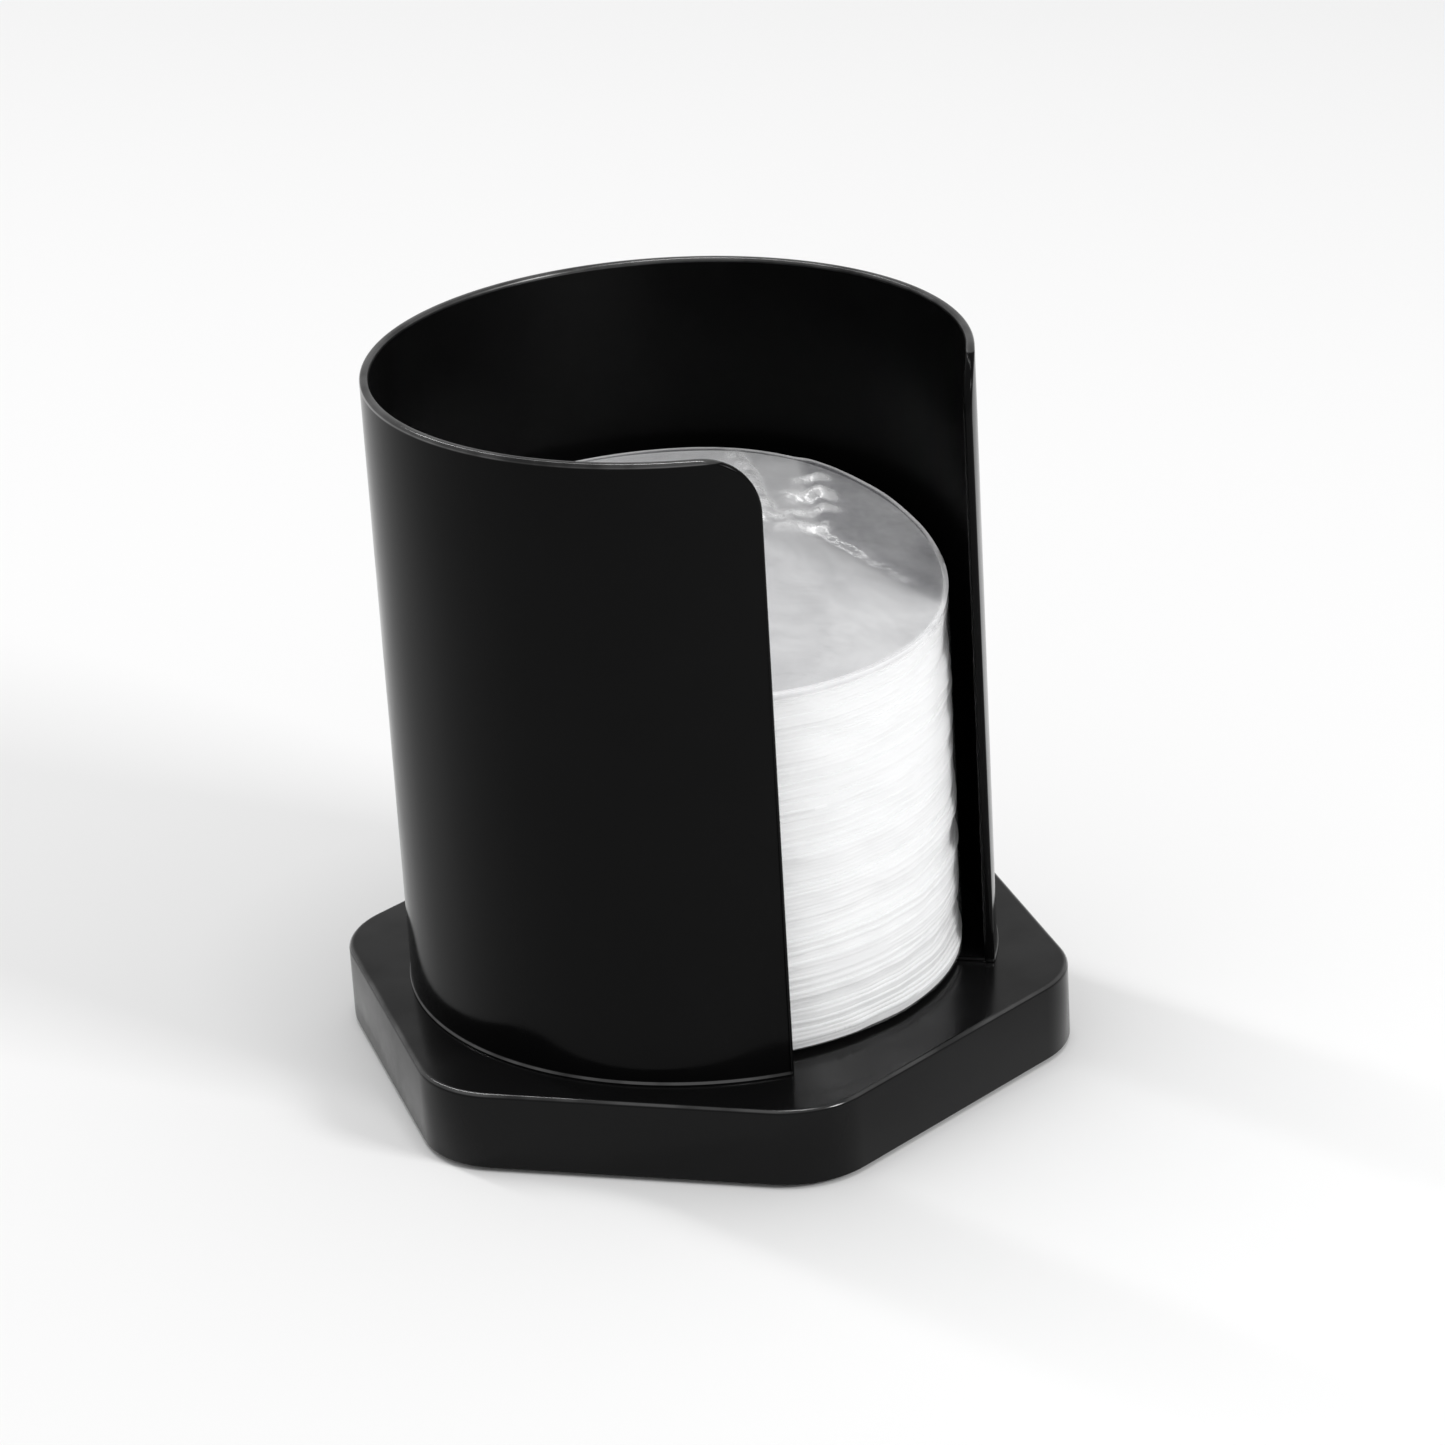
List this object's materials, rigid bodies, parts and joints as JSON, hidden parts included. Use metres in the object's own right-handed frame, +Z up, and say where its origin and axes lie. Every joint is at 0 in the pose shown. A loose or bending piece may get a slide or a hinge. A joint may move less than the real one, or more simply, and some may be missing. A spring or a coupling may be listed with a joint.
{
  "type": "napkin dispenser",
  "caption": "Countertop holder for round paper napkins: C-shaped tube with a full-height front slot on a hexagonal base, with a film-wrapped stack inside.",
  "frame": {"origin": "on the ground, at the middle of the hexagonal base", "axes": "+Z up along the tube's axis; the slot faces -Y; two of the base's corners point along X and two of its flat sides face along Y"},
  "size_m": [0.2002, 0.18, 0.1948],
  "materials": {
    "tube": "gloss",
    "base": "gloss",
    "cover": "matte",
    "ballast": "satin",
    "screws": "satin",
    "washers": "satin",
    "feet": "matte",
    "napkins": "matte",
    "film": "gloss"
  },
  "bodies": {
    "holder": {"tube": "tube", "base_shell": "base", "bottom_cover": "cover", "ballast_plate": "ballast", "tube_screw_1": "screws", "tube_screw_2": "screws", "tube_screw_3": "screws", "tube_screw_4": "screws", "tube_screw_5": "screws", "tube_washer_1": "washers", "tube_washer_2": "washers", "tube_washer_3": "washers", "tube_washer_4": "washers", "tube_washer_5": "washers", "cover_screw_1": "screws", "cover_screw_2": "screws", "cover_screw_3": "screws", "cover_screw_4": "screws", "cover_screw_5": "screws", "cover_screw_6": "screws", "foot_1": "feet", "foot_2": "feet", "foot_3": "feet", "foot_4": "feet", "foot_5": "feet", "foot_6": "feet"},
    "pack": {"napkin_stack": "napkins"},
    "top_sheet": {"top_napkin": "napkins"},
    "wrap": {"film_wrap": "film"}
  },
  "joints": [
    {"name": "pack_lift", "type": "slide", "parent": "holder", "child": "pack", "axis": [0, 0, 1], "range_m": [0, 0.175]},
    {"name": "top_napkin_lift", "type": "slide", "parent": "pack", "child": "top_sheet", "axis": [0, 0, 1], "range_m": [0, 0.08]},
    {"name": "film_lift", "type": "slide", "parent": "top_sheet", "child": "wrap", "axis": [0, 0, 1], "range_m": [0, 0.13]}
  ]
}
